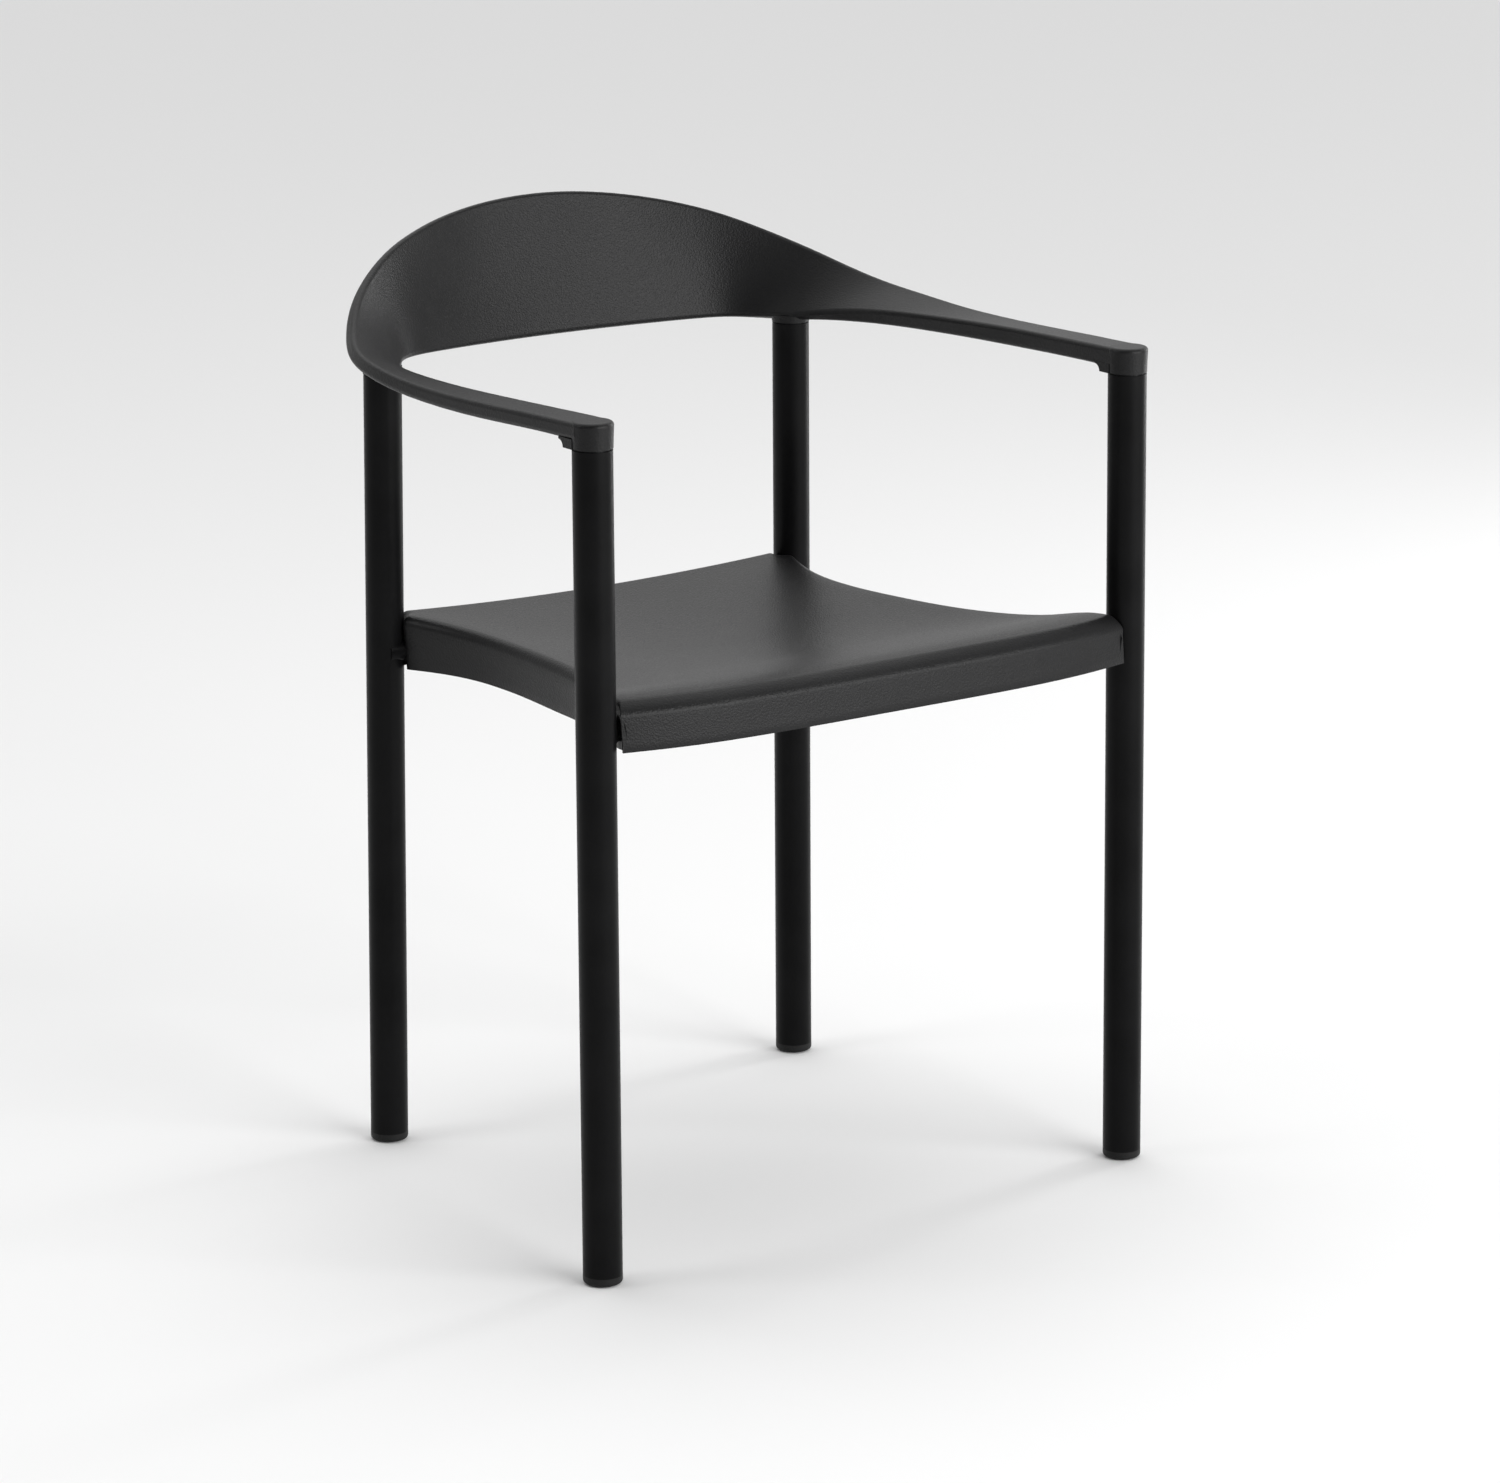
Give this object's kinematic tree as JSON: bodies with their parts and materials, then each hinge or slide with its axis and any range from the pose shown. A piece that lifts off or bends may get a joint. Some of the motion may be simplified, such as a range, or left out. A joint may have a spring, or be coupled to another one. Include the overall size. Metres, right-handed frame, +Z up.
{
  "type": "stacking armchair",
  "caption": "Stacking armchair with round tube legs, a dished moulded seat with a skirt, and one moulded hoop that is both the arms and the back.",
  "frame": {"origin": "on the floor, below the middle of the chair's box", "axes": "+Z up, the chair's front faces -Y, +X is the sitter's left"},
  "size_m": [0.57, 0.5215, 0.7862],
  "materials": {
    "frame_coat": "satin black powder coat",
    "seat_plastic": "fine moulded grain, low sheen",
    "hoop_plastic": "fine moulded grain, low sheen",
    "glide_plastic": "smooth",
    "screw_steel": "black oxide"
  },
  "bodies": {
    "root": {"back_arm_hoop": "hoop_plastic", "front_left_glide": "glide_plastic", "front_left_hoop_screw": "screw_steel", "front_left_leg": "frame_coat", "front_left_seat_screw": "screw_steel", "front_rail_left_weld": "frame_coat", "front_rail_right_weld": "frame_coat", "front_right_glide": "glide_plastic", "front_right_hoop_screw": "screw_steel", "front_right_leg": "frame_coat", "front_right_seat_screw": "screw_steel", "front_seat_rail": "frame_coat", "left_side_front_weld": "frame_coat", "left_side_rail": "frame_coat", "left_side_rear_weld": "frame_coat", "rear_left_glide": "glide_plastic", "rear_left_hoop_screw": "screw_steel", "rear_left_leg": "frame_coat", "rear_left_seat_screw": "screw_steel", "rear_rail_left_weld": "frame_coat", "rear_rail_right_weld": "frame_coat", "rear_right_glide": "glide_plastic", "rear_right_hoop_screw": "screw_steel", "rear_right_leg": "frame_coat", "rear_right_seat_screw": "screw_steel", "rear_seat_rail": "frame_coat", "right_side_front_weld": "frame_coat", "right_side_rail": "frame_coat", "right_side_rear_weld": "frame_coat", "seat_shell": "seat_plastic"}
  },
  "joints": []
}
